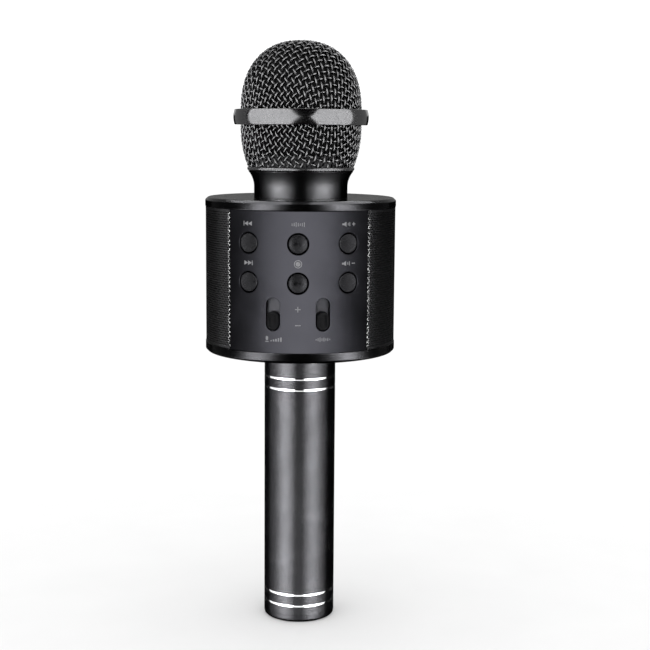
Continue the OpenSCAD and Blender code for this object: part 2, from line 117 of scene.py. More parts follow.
class Look:
    """A Principled material that varies by object-space procedural textures."""

    def __init__(self, name, **values):
        self.material = bpy.data.materials.new(name)
        self.material.use_nodes = True
        self.tree = self.material.node_tree
        self.shader = self.tree.nodes["Principled BSDF"]
        for socket, value in values.items():
            self.feed(value, self.shader.inputs[socket.replace("_", " ")])
        self.place = self.tree.nodes.new("ShaderNodeTexCoord").outputs["Object"]

    def feed(self, value, socket):
        """Links an output into a socket, or sets the socket to a number or colour."""
        if isinstance(value, bpy.types.NodeSocket):
            self.tree.links.new(value, socket)
        elif isinstance(value, (tuple, list)) and len(value) == 3 and socket.type == "RGBA":
            socket.default_value = (*value, 1)
        else:
            socket.default_value = value

    def node(self, kind, settings=None, **inputs):
        """Adds a node, with its settings and with values for its sockets."""
        made = self.tree.nodes.new(kind)
        for key, value in (settings or {}).items():
            setattr(made, key, value)
        for key, value in inputs.items():
            self.feed(value, made.inputs[key.replace("_", " ")])
        return made

    def noise(self, size_mm, stretch=(1, 1, 1), detail=3.0, rough=0.5):
        """Noise with features of about size_mm, drawn out along the axes where stretch is small."""
        place = self.node("ShaderNodeMapping", Vector=self.place, Scale=stretch)
        made = self.node("ShaderNodeTexNoise", Vector=place.outputs[0], Detail=detail,
                         Scale=1 / (size_mm * MM), Roughness=rough)
        return made.outputs["Fac"]

    def cells(self, size_mm):
        """Distance within round cells of about size_mm."""
        made = self.node("ShaderNodeTexVoronoi", Vector=self.place, Scale=1 / (size_mm * MM))
        return made.outputs["Distance"]

    def remap(self, value, start, end, low_out, high_out):
        made = self.node("ShaderNodeMapRange", Value=value)
        for socket, number in zip(made.inputs[1:5], (start, end, low_out, high_out)):
            socket.default_value = number
        return made.outputs[0]

    def calc(self, operation, a, b):
        made = self.tree.nodes.new("ShaderNodeMath")
        made.operation = operation
        self.feed(a, made.inputs[0])
        self.feed(b, made.inputs[1])
        return made.outputs[0]

    def vary(self, noise, low_out, high_out):
        """The usual span of a noise, spread between two values."""
        return self.remap(noise, 0.3, 0.7, low_out, high_out)

    def times(self, a, b):
        return self.calc("MULTIPLY", a, b)

    def plus(self, a, b):
        return self.calc("ADD", a, b)

    def blend(self, share, a, b):
        """Colour a where share is 0, and colour b where it is 1."""
        made = self.node("ShaderNodeMix", {"data_type": "RGBA"})
        self.feed(share, made.inputs[0])
        self.feed(a, made.inputs[6])
        self.feed(b, made.inputs[7])
        return made.outputs[2]

    def edges(self):
        """1 on sharp outer edges, broken up by noise, and 0 elsewhere."""
        point = self.node("ShaderNodeNewGeometry").outputs["Pointiness"]
        edge = self.remap(point, 0.53, 0.6, 0, 1)
        return self.times(edge, self.remap(self.noise(1.6), 0.42, 0.62, 0, 1))

    def turned_grain(self):
        """Runs the anisotropy round the piece's own axis."""
        tangent = self.node("ShaderNodeTangent", {"direction_type": "RADIAL", "axis": "Z"})
        self.feed(tangent.outputs[0], self.shader.inputs["Tangent"])

    def colour(self, value):
        self.feed(value, self.shader.inputs["Base Color"])

    def roughness(self, value):
        self.feed(value, self.shader.inputs["Roughness"])

    def bump(self, height, depth_mm, strength=1.0):
        made = self.node("ShaderNodeBump", Height=height, Distance=depth_mm * MM,
                         Strength=strength)
        self.feed(made.outputs[0], self.shader.inputs["Normal"])


def shade(colour, factor):
    return tuple(min(1, c * factor) for c in colour)


def satin(name, colour, rough, grain_mm, stretch=(1, 1, 1), wear_and_painted_light=0.0, metallic=1, **values):
    """Fine-grained metal or paint: grain in bump, slow drift in colour and roughness."""
    look = Look(name, Metallic=metallic, **values)
    drift = look.noise(14, detail=2)
    grain = look.noise(grain_mm, stretch, 2)
    tint = look.blend(look.vary(drift, 0, 1), shade(colour, 0.86), shade(colour, 1.14))
    if wear_and_painted_light:
        tint = look.blend(look.times(look.edges(), wear_and_painted_light), tint, shade(colour, 3.2))
    look.colour(tint)
    mixed = look.plus(look.times(grain, 0.6), look.times(drift, 0.4))
    look.roughness(look.vary(mixed, rough * 0.85, rough * 1.15))
    look.bump(grain, 0.006)
    return look.material


def polished(name, colour, rough, wear_and_painted_light=0.0, metallic=1, **values):
    """Polished metal with turning marks, faint smudges and a few handling scratches."""
    look = Look(name, Metallic=metallic, **values)
    streaks = look.noise(0.09, ROUND, 2)
    smudge = look.noise(9, detail=4, rough=0.6)
    scratch = look.remap(look.noise(0.35, (1, 0.06, 0.25), 1), 0.68, 0.74, 0, 1)
    tint = look.blend(look.remap(smudge, 0.35, 0.7, 0, 1), colour, shade(colour, 0.9))
    if wear_and_painted_light:
        tint = look.blend(look.times(look.edges(), wear_and_painted_light), tint, shade(colour, 2.4))
    look.colour(tint)
    dull = look.plus(look.remap(smudge, 0.35, 0.75, rough * 0.8, rough * 1.5),
                     look.times(scratch, 0.08))
    look.roughness(look.plus(dull, look.vary(streaks, 0, rough * 0.3)))
    look.bump(streaks, 0.0015)
    return look.material


def moulded(name, colour, rough, grain_mm, depth, **values):
    """Moulded plastic or rubber: leathery micro texture with dull patches."""
    look = Look(name, **values)
    texture = look.plus(look.cells(grain_mm), look.noise(grain_mm * 0.6, detail=4))
    patch = look.remap(look.noise(11, detail=3), 0.35, 0.65, 0, 1)
    look.colour(look.blend(patch, shade(colour, 0.85), shade(colour, 1.15)))
    look.roughness(look.remap(texture, 0.4, 1.1, rough * 0.85, rough * 1.15))
    look.bump(texture, depth)
    return look.material


def turned_button():
    """Black turned metal: concentric grooves, with highlights that fan out across them."""
    look = Look("button_metal", Metallic=1, Anisotropic=0.75)
    pitch, wander = 0.22 * MM, 0.05 * MM
    look.turned_grain()
    flat = look.node("ShaderNodeVectorMath", {"operation": "MULTIPLY"})
    look.feed(look.place, flat.inputs[0])
    flat.inputs[1].default_value = (1, 1, 0)
    radius = look.node("ShaderNodeVectorMath", {"operation": "LENGTH"})
    look.feed(flat.outputs[0], radius.inputs[0])
    wobble = look.plus(radius.outputs["Value"],
                       look.times(look.noise(1.5), wander))
    groove = look.calc("SINE", look.times(wobble, 2 * pi / pitch), 0)
    # Painted shade: the colour darkens towards the bottom of each groove.
    look.colour(look.blend(look.remap(groove, -1, 1, 0, 1), (0.04, 0.04, 0.043),
                           (0.06, 0.06, 0.064)))
    look.roughness(look.vary(look.noise(0.5), 0.24, 0.28))
    look.bump(groove, 0.002, 0.4)
    return look.material


def neck_look():
    """Glossy black collar, turned, so that its highlights run up and down."""
    look = Look("neck_shell", Metallic=1, Anisotropic=0.8, Anisotropic_Rotation=0.25,
                Specular_Tint=(0.1, 0.1, 0.1))
    look.turned_grain()
    drift = look.vary(look.noise(12, detail=3), 0, 1)
    look.colour(look.blend(drift, (0.042, 0.042, 0.044), (0.048, 0.048, 0.05)))
    look.roughness(look.vary(look.noise(0.1, ROUND, 2), 0.28, 0.31))
    return look.material


def foam_look():
    """Open-cell foam: fine walls, with painted shade darkening the pores between them."""
    look = Look("foam", Specular_IOR_Level=0.1)
    pores = look.cells(0.55)
    small = look.cells(0.28)
    both = look.times(pores, small)
    # Painted shade: the pores, low in the bump, are darker than the walls.
    look.colour(look.blend(look.remap(both, 0.02, 0.3, 0, 1), (0.003, 0.003, 0.003),
                           (0.013, 0.013, 0.0135)))
    look.roughness(look.vary(look.noise(2), 0.85, 1.0))
    look.bump(both, 0.25)
    return look.material


def board_look():
    """Solder mask over copper: tracks and pads show through as lighter green."""
    look = Look("circuit_board", Coat_Weight=0.4, Coat_Roughness=0.2)
    brick = look.node("ShaderNodeTexBrick", Vector=look.place, Scale=420.0,
                      Color1=(0, 0, 0), Color2=(0.25, 0.25, 0.25), Mortar=(1, 1, 1))
    track = look.times(brick.outputs["Fac"], look.remap(look.noise(5), 0.5, 0.56, 0, 1))
    look.colour(look.blend(track, (0.012, 0.085, 0.04), (0.03, 0.2, 0.09)))
    look.roughness(look.vary(look.noise(1.2), 0.3, 0.5))
    look.bump(track, 0.03)
    return look.material


def paper_look():
    """Coated speaker paper with pressed fibres."""
    look = Look("speaker_paper")
    fibre = look.noise(0.5, (1, 0.3, 1), 5, 0.7)
    look.colour(look.blend(look.remap(fibre, 0.35, 0.65, 0, 1), (0.014, 0.014, 0.015),
                           (0.045, 0.044, 0.042)))
    look.roughness(look.vary(fibre, 0.6, 0.85))
    look.bump(fibre, 0.05)
    return look.material


def woven_look():
    """Black-nickel wire, lightened on the crowns as a painted highlight and darkened where wires
    cross under as painted shade.
    """
    look = Look("woven_wire", Metallic=1)
    crown = look.node("ShaderNodeAttribute", {"attribute_name": "crown"}).outputs["Fac"]
    grain = look.noise(0.2, detail=2)
    # Painted light: high crowns get a painted highlight, and the stretches that pass under get
    # painted shade.
    wear_and_painted_light = look.times(look.remap(crown, -0.15, 0.85, 0, 1),
                     look.remap(grain, 0.3, 0.6, 0.7, 1))
    look.colour(look.blend(wear_and_painted_light, (0.03, 0.03, 0.031), (0.27, 0.27, 0.274)))
    look.roughness(look.vary(grain, 0.17, 0.24))
    look.bump(grain, 0.005)
    return look.material


def perforated_look():
    """Black perforated sheet, lightened along its folded edges as a painted highlight."""
    look = Look("grille_metal", Metallic=0.9)
    grain = look.noise(0.12, detail=2)
    fold = look.node("ShaderNodeAttribute", {"attribute_name": "fold"}).outputs["Fac"]
    # Painted highlight: lighter metal along the folded edges, broken up by noise.
    fold_highlight = look.times(fold, look.remap(look.noise(0.9), 0.46, 0.54, 0, 1))
    black = look.blend(look.noise(14, detail=2), (0.017, 0.017, 0.018), (0.023, 0.023, 0.024))
    look.colour(look.blend(fold_highlight, black, (0.14, 0.14, 0.14)))
    look.roughness(look.vary(grain, 0.28, 0.38))
    look.bump(grain, 0.006)
    return look.material


def print_look():
    """Pad-printed pale ink, thin in places."""
    look = Look("pale_ink", Specular_IOR_Level=0.3)
    thin = look.remap(look.noise(0.3, detail=4), 0.35, 0.6, 0, 1)
    look.colour(look.blend(thin, (0.2, 0.2, 0.21), (0.32, 0.32, 0.33)))
    look.roughness(look.remap(thin, 0, 1, 0.6, 0.5))
    look.bump(thin, 0.01)
    return look.material


SLOT_LOOKS = [
    satin("handle_metal", (0.035, 0.035, 0.037), 0.25, 0.1, wear_and_painted_light=0.25,
          Specular_Tint=(0.25, 0.25, 0.25)),
    satin("cap_metal", (0.03, 0.03, 0.032), 0.25, 0.12, wear_and_painted_light=0.35,
          Specular_Tint=(0.25, 0.25, 0.25)),
    polished("bright_trim", (0.9, 0.9, 0.91), 0.09),
    moulded("inner_plastic", (0.035, 0.035, 0.038), 0.55, 0.8, 0.03),
    polished("battery_wrap", (0.03, 0.12, 0.36), 0.3, metallic=0, Coat_Weight=0.5),
    polished("spring_steel", (0.6, 0.6, 0.62), 0.22),
    polished("contact_metal", (0.78, 0.58, 0.26), 0.2),
    moulded("wire_jacket", (0.16, 0.015, 0.012), 0.45, 0.4, 0.01),
    polished("gloss_shell", (0.03, 0.03, 0.032), 0.15, wear_and_painted_light=0.3),
    satin("panel_metal", (0.026, 0.026, 0.03), 0.5, 0.14, wear_and_painted_light=0.2),
    perforated_look(),
    polished("speaker_basket", (0.4, 0.41, 0.43), 0.3),
    paper_look(),
    satin("magnet", (0.12, 0.12, 0.13), 0.55, 0.4, metallic=0.7),
    turned_button(),
    moulded("knob_plastic", (0.004, 0.004, 0.005), 0.28, 0.3, 0.002, Specular_IOR_Level=0.12),
    board_look(),
    moulded("component_plastic", (0.02, 0.02, 0.022), 0.5, 0.25, 0.01),
    polished("component_metal", (0.6, 0.6, 0.62), 0.28),
    polished("socket_metal", (0.66, 0.66, 0.68), 0.2),
    polished("screw_steel", (0.16, 0.16, 0.17), 0.3),
    moulded("seal_rubber", (0.012, 0.012, 0.012), 0.75, 0.3, 0.02),
    polished("ring_metal", (0.15, 0.15, 0.154), 0.2),
    woven_look(),
    polished("band_metal", (0.19, 0.19, 0.195), 0.12),
    foam_look(),
    satin("capsule_metal", (0.55, 0.55, 0.57), 0.3, 0.15),
]
LOOKS = {look.name.split(".")[0]: look for look in SLOT_LOOKS}
NECK = neck_look()
INK = print_look()
SHUTTER = satin("shutter_metal", (0.06, 0.06, 0.066), 0.42, 0.14, UPRIGHT)
# Pieces that share their lights.
HANDLE_LOOKS = [LOOKS[slot] for slot in ("handle_metal", "cap_metal", "bright_trim",
                                         "grille_metal")]
CONTROL_LOOKS = [LOOKS["button_metal"], LOOKS["knob_plastic"]]
PANEL_LOOKS = [LOOKS["panel_metal"], INK]


# ---- mesh tools ----
def bare_mesh(name, points, faces):
    """A new mesh of points in metres."""
    mesh = bpy.data.meshes.new(name)
    mesh.from_pydata(np.asarray(points, float).tolist(), [], faces)
    return mesh


def mark(mesh, name, values):
    """Stores a number at each point, for a material to read."""
    mesh.attributes.new(name, "FLOAT", "POINT").data.foreach_set("value", values)


def evaluated(made):
    """The mesh of an object as its modifiers leave it."""
    bpy.context.view_layer.update()
    return bpy.data.meshes.new_from_object(made.evaluated_get(
        bpy.context.evaluated_depsgraph_get()))


def piece(name, verts, faces, slot, body="body", nodes=(), look=None, sharp=35, place=None):
    """A mesh of millimetre points in the CAD frame, finished from a slot and riding on a body."""
    mesh = bare_mesh(name, np.asarray(verts, float) * MM, faces)
    work = bmesh.new()
    work.from_mesh(mesh)
    bmesh.ops.recalc_face_normals(work, faces=work.faces)
    work.to_mesh(mesh)
    work.free()
    mesh.polygons.foreach_set("use_smooth", [True] * len(mesh.polygons))
    mesh.set_sharp_from_angle(angle=radians(sharp))
    mesh.materials.append(look or LOOKS[slot])
    made = placed(name, mesh)
    if place is not None:
        made.matrix_world = place
    if nodes:
        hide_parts(*nodes)
    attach(made, body)
    return made


def rounded(points, radius, steps=3):
    """Softens a polyline's corners; a point can carry its own radius as a third number."""
    result = []
    count = len(points)
    for i, point in enumerate(points):
        own = point[2] if len(point) > 2 else radius
        here = np.array(point[:2], float)
        if own <= 0:
            result.append(tuple(here))
            continue
        before = np.array(points[i - 1][:2], float) - here
        after = np.array(points[(i + 1) % count][:2], float) - here
        a, b = np.linalg.norm(before), np.linalg.norm(after)
        cosine = np.clip(np.dot(before, after) / (a * b), -1, 1)
        if cosine < -0.98:
            result.append(tuple(here))
            continue
        turn = pi - acos(cosine)
        reach = min(own * tan(turn / 2), 0.45 * a, 0.45 * b)
        start, end = here + before / a * reach, here + after / b * reach
        for step in np.linspace(0, 1, steps + 1):
            mixed = (1 - step) ** 2 * start + 2 * step * (1 - step) * here + step ** 2 * end
            result.append(tuple(mixed))
    return result


def revolved(profile, steps=192, closed=True):
    """Turns a profile of (radius, height) round +Z. Points on the axis become one vertex."""
    angles = np.arange(steps) * 2 * pi / steps
    verts, rings, faces = [], [], []
    for radius, height in profile:
        if radius < 1e-6:
            rings.append([len(verts)] * steps)
            verts.append((0, 0, height))
        else:
            rings.append(list(range(len(verts), len(verts) + steps)))
            verts.extend(zip(radius * np.cos(angles), radius * np.sin(angles), [height] * steps))
    pairs = list(zip(rings, rings[1:]))
    if closed:
        pairs.append((rings[-1], rings[0]))
    for one, two in pairs:
        for k in range(steps):
            n = (k + 1) % steps
            corners = [one[k], one[n], two[n], two[k]]
            corners = [c for j, c in enumerate(corners) if c not in corners[:j]]
            if len(corners) > 2:
                faces.append(corners)
    return verts, faces


def keep_flat(made):
    """Keeps flat faces flat where they meet softened edges."""
    normals = made.modifiers.new("normals", "WEIGHTED_NORMAL")
    normals.keep_sharp = True
    return made


def turned(name, profile, slot, body="body", nodes=(), soften=0.1, steps=192, **more):
    """A turned piece from a closed profile with softened edges."""
    verts, faces = revolved(rounded(profile, soften), steps)
    return keep_flat(piece(name, verts, faces, slot, body, nodes, **more))


def lofted(loops):
    """Joins loops of equal length in order, and caps both ends."""
    count = len(loops[0])
    verts = [point for loop in loops for point in loop]
    faces = []
    for level in range(len(loops) - 1):
        for k in range(count):
            n = (k + 1) % count
            base, top = level * count, (level + 1) * count
            faces.append([base + k, base + n, top + n, top + k])
    faces.append(list(range(count))[::-1])
    faces.append(list(range(len(verts) - count, len(verts))))
    return verts, faces


def swept(path, normals, radius, sides):
    """A round wire along a path, with the first side facing along the normals."""
    tangent = np.gradient(path, axis=0)
    tangent /= np.linalg.norm(tangent, axis=1)[:, None]
    across = np.cross(tangent, normals)
    across /= np.linalg.norm(across, axis=1)[:, None]
    up = np.cross(across, tangent)
    turn = np.arange(sides) * 2 * pi / sides
    ring = (up[:, None, :] * np.cos(turn)[None, :, None]
            + across[:, None, :] * np.sin(turn)[None, :, None])
    verts = (path[:, None, :] + ring * radius).reshape(-1, 3)
    count = len(path)
    side = np.arange(sides)
    start = (np.arange(count - 1) * sides)[:, None]
    quads = np.stack([start + side, start + (side + 1) % sides,
                      start + sides + (side + 1) % sides, start + sides + side], axis=2)
    faces = quads.reshape(-1, 4).tolist()
    faces.append(list(range(sides))[::-1])
    faces.append(list(range((count - 1) * sides, count * sides)))
    return verts, faces


def together(parts):
    """Several (verts, faces) as one."""
    verts, faces = [], []
    for some_verts, some_faces in parts:
        start = len(verts)
        verts.extend(np.asarray(some_verts).tolist())
        faces.extend([[start + i for i in face] for face in some_faces])
    return verts, faces


def facing_out(degrees, radius, z):
    """Matrix that puts a piece drawn along +Z in millimetres on the drum, facing out."""
    turn = Matrix.Rotation(radians(degrees), 4, "Z")
    return (turn @ Matrix.Translation((0, -radius * MM, z * MM))
            @ Matrix.Rotation(radians(90), 4, "X"))


def circle(x, y, radius, count=48):
    angles = np.arange(count) * 2 * pi / count
    return [(x + radius * cos(a), y + radius * sin(a)) for a in angles]


def pill(x, y, width, height, count=48):
    """Upright or lying rounded slot."""
    radius = min(width, height) / 2
    reach_x, reach_y = width / 2 - radius, height / 2 - radius
    return [(x + px + copysign(reach_x, px - 1e-9), y + py + copysign(reach_y, py - 1e-9))
            for px, py in circle(0, 0, radius, count)]


def rectangle(x, y, width, height, corner=0.0):
    points = [(x - width / 2, y - height / 2), (x + width / 2, y - height / 2),
              (x + width / 2, y + height / 2), (x - width / 2, y + height / 2)]
    return rounded(points, corner, steps=5) if corner else points


def bent_plate(name, outlines, holes, outer_r, thickness, centre_deg, slot, body="body",
               nodes=(), bevel=0.15, look=None):
    """A plate cut flat, with softened edges, then bent to the drum's curve."""
    curve = bpy.data.curves.new(name, "CURVE")
    curve.dimensions, curve.fill_mode = "2D", "BOTH"
    curve.extrude = thickness / 2 - bevel
    curve.bevel_depth, curve.bevel_resolution, curve.offset = bevel, 2, -bevel
    for loop in list(outlines) + [hole[::-1] for hole in holes]:
        spline = curve.splines.new("POLY")
        spline.points.add(len(loop) - 1)
        for point, (x, y) in zip(spline.points, loop):
            point.co = (x, y, 0, 1)
        spline.use_cyclic_u = True
    flat = placed(name + ".flat", curve)
    mesh = evaluated(flat)
    bpy.data.objects.remove(flat)
    work = bmesh.new()
    work.from_mesh(mesh)
    bmesh.ops.remove_doubles(work, verts=work.verts, dist=0.001)
    reach = max(abs(v.co.x) for v in work.verts)
    step = radians(1.5) * outer_r
    for k in range(-int(reach / step), int(reach / step) + 1):
        bmesh.ops.bisect_plane(work, geom=work.verts[:] + work.edges[:] + work.faces[:],
                               plane_co=(k * step, 0, 0), plane_no=(1, 0, 0), dist=1e-4)
    bmesh.ops.dissolve_degenerate(work, dist=1e-4, edges=work.edges)
    work.verts.index_update()
    verts = []
    for v in work.verts:
        angle = radians(centre_deg) + v.co.x / outer_r
        radius = outer_r - thickness / 2 + v.co.z
        verts.append((radius * sin(angle), -radius * cos(angle), v.co.y))
    faces = [[v.index for v in face.verts] for face in work.faces]
    work.free()
    return keep_flat(piece(name, verts, faces, slot, body, nodes, look, sharp=30))


# ---- handle ----
handle_r = high("handle_tube").x
ring_zs = [centre(f"trim_ring_{n}").z for n in (1, 2, 3, 4)]
ring_h = high("trim_ring_1").z - low("trim_ring_1").z
TUBE_WALL, GROOVE_DEPTH = 1.6, 0.6
groove_r = handle_r - GROOVE_DEPTH
bore_r = handle_r - TUBE_WALL


def make_handle():
    tube_z, tube_top = low("handle_tube").z, high("handle_tube").z
    profile = [(bore_r, tube_z), (handle_r, tube_z)]
    for z in ring_zs:
        below, above = z - ring_h / 2, z + ring_h / 2
        profile += [(handle_r, below), (groove_r, below), (groove_r, above), (handle_r, above)]
    profile += [(handle_r, tube_top), (bore_r, tube_top)]
    turned("handle", profile, "handle_metal", nodes=["handle_tube"], soften=0.08)
    face, play = handle_r - 0.03, 0.02
    for n, z in enumerate(ring_zs, 1):
        below, above = z - ring_h / 2 + play, z + ring_h / 2 - play
        turned(f"bright_ring_{n}", [(groove_r, below), (face, below), (face, above),
                                    (groove_r, above)],
               "bright_trim", nodes=[f"trim_ring_{n}"], soften=0.18)
    hollow_r, hollow, edge = 9.4, 0.35, 2.6
    plug_r, plug_wall, plug_top, joint = bore_r - 0.05, 1.6, tube_z + 7, tube_z - 0.05
    turned("end_cap", [(0, hollow, 0), (hollow_r, hollow, 0.1), (hollow_r + 0.4, 0, 0.15),
                       (handle_r, 0, edge), (handle_r, joint, 0.1), (plug_r, joint, 0),
                       (plug_r, plug_top, 0.3), (plug_r - plug_wall, plug_top, 0.3),
                       (plug_r - plug_wall, tube_z, 0), (0, tube_z, 0)],
           "cap_metal", nodes=["handle_end_cap"])


# ---- drum shells ----
drum_r = high("drum_top_cover").x
panel_z, panel_top = low("front_panel").z, high("front_panel").z
drum_z, drum_top = low("drum_bottom_cover").z, high("drum_top_cover").z


def cut(target, cutters):
    """Takes closed (verts, faces) shapes out of a mesh piece."""
    target.modifiers.clear()
    for verts, faces in cutters:
        tool = placed("cutter", bare_mesh("cutter", np.asarray(verts) * MM, faces))
        boolean = target.modifiers.new("cut", "BOOLEAN")
        boolean.operation, boolean.solver, boolean.object = "DIFFERENCE", "EXACT", tool
        result = evaluated(target)
        target.modifiers.clear()
        target.data = result
        bpy.data.objects.remove(tool)
    target.data.set_sharp_from_angle(angle=radians(35))
    keep_flat(target)


def make_covers():
    inside = drum_r - 2.6
    hub, chamfer, deck = bore_r + 0.05, 0.9, drum_z + 2
    bottom = turned("bottom_cover", [
        (hub, drum_z, 0.3), (drum_r - chamfer, drum_z, 0.5), (drum_r, drum_z + chamfer, 0.5),
        (drum_r, panel_z, 0.25), (inside, panel_z, 0.1),
        (inside, deck, 0.1), (hub, deck, 0.1)], "gloss_shell",
        nodes=["drum_bottom_cover"], steps=240)
    screw_circle, pocket_r, pocket_top = 31, 3.2, drum_z + 1.9
    pockets = []
    for degrees in (45, 135, 225, 315):
        x = screw_circle * sin(radians(degrees))
        y = -screw_circle * cos(radians(degrees))
        verts, faces = revolved([(0, drum_z - 1), (pocket_r, drum_z - 1), (pocket_r, pocket_top),
                                 (0, pocket_top)], 40)
        pockets.append(([(vx + x, vy + y, vz) for vx, vy, vz in verts], faces))
    cut(bottom, pockets)
    hub, chamfer, ceiling_z = 15.95, 1.2, drum_top - 1
    turned("top_cover", [
        (hub, ceiling_z, 0.1), (inside, ceiling_z, 0.1), (inside, panel_top, 0.1),
        (drum_r, panel_top, 0.25), (drum_r, drum_top - chamfer, 0.5),
        (drum_r - chamfer, drum_top, 1.3), (hub, drum_top, 0.1)], "gloss_shell",
        nodes=["drum_top_cover"], steps=240)


# ---- control panel ----
COLUMN = 30
BUTTONS = {
    "previous_button": (-COLUMN, "upper"), "next_button": (-COLUMN, "lower"),
    "scan_button": (0, "upper"), "record_button": (0, "lower"),
    "volume_up_button": (COLUMN, "upper"), "volume_down_button": (COLUMN, "lower"),
}
SLIDERS = {"mic_volume": -14.5, "remix": 14.5}
ROW_Z = {"upper": centre("scan_button").z, "lower": centre("record_button").z}
BUTTON_R = 4.05
SLOT_W, SLOT_H, SLOT_Z = 5.8, 13.2, 136.2
PANEL_T, PANEL_HALF = 1.6, 43.5


def along(degrees):
    """Distance round the drum's surface."""
    return radians(degrees) * drum_r


def icon_triangle(x, y, width, height):
    """Points to the right if width is positive, and to the left if negative."""
    loop = [(x - width / 2, y - height / 2), (x + width / 2, y), (x - width / 2, y + height / 2)]
    return loop if width > 0 else loop[::-1]


def icon_plus(x, y, size, line):
    a, b = size / 2, line / 2
    return [(x - b, y - a), (x + b, y - a), (x + b, y - b), (x + a, y - b), (x + a, y + b),
            (x + b, y + b), (x + b, y + a), (x - b, y + a), (x - b, y + b), (x - a, y + b),
            (x - a, y - b), (x - b, y - b)]


def front_icons():
    """Outlines and holes of the printed signs, in place of words."""
    shapes = []
    above, plus_z, minus_z, foot_z = 7.7, 138.4, 132, 126.3
    left, right = along(-COLUMN), along(COLUMN)
    top, mid = ROW_Z["upper"] + above, ROW_Z["lower"] + above
    for y, way in ((top, -1), (mid, 1)):
        shapes += [icon_triangle(left - 0.9 * way, y, 1.7 * way, 1.8),
                   icon_triangle(left + 0.85 * way, y, 1.7 * way, 1.8),
                   rectangle(left + 1.95 * way, y, 0.35, 1.8)]
    for k, height in enumerate((0.9, 1.3, 1.8, 1.3, 0.9, 1.3, 1.8)):
        shapes.append(rectangle(-2.4 + 0.8 * k, top, 0.32, height))
    shapes += [circle(0, mid, 0.95, 32), circle(0, mid, 1.6, 40)]
    holes = [circle(0, mid, 1.3, 40)]
    for y in (top, mid):
        shapes += [[(right - 3, y - 0.35), (right - 2.3, y - 0.35), (right - 1.2, y - 1),
                    (right - 1.2, y + 1), (right - 2.3, y + 0.35), (right - 3, y + 0.35)],
                   pill(right - 0.4, y, 0.32, 1.1, 16), pill(right + 0.35, y, 0.32, 1.7, 16)]
    shapes += [icon_plus(right + 2.2, top, 1.5, 0.32), rectangle(right + 2.2, mid, 1.5, 0.32),
               icon_plus(0, plus_z, 2.2, 0.34), rectangle(0, minus_z, 2.2, 0.38)]
    mic, wave = (along(degrees) for degrees in SLIDERS.values())
    shapes += [pill(mic - 2.4, foot_z + 0.35, 1, 1.7, 24),
               rectangle(mic - 2.4, foot_z - 1, 1.5, 0.3)]
    for k, height in enumerate((0.5, 0.8, 1.1, 1.4, 1.7)):
        shapes.append(rectangle(mic - 0.6 + 1.0 * k, foot_z - 0.9 + height / 2, 0.55, height))
    for k, height in enumerate((0.6, 1.2, 1.9, 1.1, 1.6, 0.9, 1.3, 0.5)):
        shapes.append(pill(wave - 2.8 + 0.8 * k, foot_z, 0.34, height, 16))
    return shapes, holes


def make_front_panel():
    gap = 0.3
    holes = [circle(along(degrees), ROW_Z[row], BUTTON_R + gap)
             for degrees, row in BUTTONS.values()]
    holes += [pill(along(degrees), SLOT_Z, SLOT_W, SLOT_H) for degrees in SLIDERS.values()]
    width = 2 * along(PANEL_HALF)
    plate = rectangle(0, (panel_z + panel_top) / 2, width, panel_top - panel_z, 0.3)
    bent_plate("control_panel", [plate], holes, drum_r, PANEL_T, 0, "panel_metal",
               nodes=["front_panel"], bevel=0.22)
    shapes, cuts = front_icons()
    bent_plate("panel_signs", shapes, cuts, drum_r + 0.03, 0.05, 0, "bright_trim",
               bevel=0, look=INK)


def make_buttons():
    back_r, face_r = 36.9, drum_r - 0.3
    rise = face_r - back_r
    flange_r, flange_t, rim_r = 4.9, 0.8, 3.7
    dish_r, dish_depth = 3.6, 0.35
    dish = [(r, rise - dish_depth * (1 - (r / dish_r) ** 2), 0)
            for r in np.linspace(0, dish_r - 0.05, 12)]
    profile = [(0, 0, 0), (flange_r, 0, 0.1), (flange_r, flange_t, 0.15),
               (BUTTON_R, flange_t, 0.1), (BUTTON_R, rise - 0.4, 0.1), (rim_r, rise, 0.1)]
    profile += dish[::-1]
    for node, (degrees, row) in BUTTONS.items():
        verts, faces = revolved(rounded(profile, 0, steps=4), 72, closed=False)
        piece(f"{node}_cap", verts, faces, "button_metal", node, [node], sharp=50,
              place=facing_out(degrees, back_r, ROW_Z[row]))


def make_sliders():
    """Each slider is a dished thumb on a curved shutter that closes its slot."""
    thumb_w, thumb_h, thumb_t, thumb_face_r = 5.3, 7.8, 3.0, 40.3
    shutter_w, shutter_t, shutter_r = 7.4, 0.8, 38.0
    # How far in and how high each loop of the thumb lies.
    levels = [(0, 0), (0, 2.2), (0.08, 2.55), (0.28, 2.85), (0.62, thumb_t), (1.0, 2.98),
              (1.5, 2.82), (2.05, 2.72)]
    for name, degrees in SLIDERS.items():
        node = f"{name}_slider"
        box_low, box_high = low(node), high(node)
        rest_z = SLOT_Z - SLOT_H / 2 + thumb_h / 2 + 0.05
        loops = [[(x, y, h) for x, y in pill(0, 0, thumb_w - 2 * inset, thumb_h - 2 * inset, 48)]
                 for inset, h in levels]
        verts, faces = lofted(loops)
        piece(f"{name}_thumb", verts, faces, "knob_plastic", node, [node],
              place=facing_out(degrees, thumb_face_r - thumb_t, rest_z))
        plate = rectangle(0, (box_low.z + box_high.z) / 2, shutter_w, box_high.z - box_low.z, 0.5)
        bent_plate(f"{name}_shutter", [plate], [], shutter_r, shutter_t, degrees,
                   "knob_plastic", node, [node], bevel=0.1, look=SHUTTER)


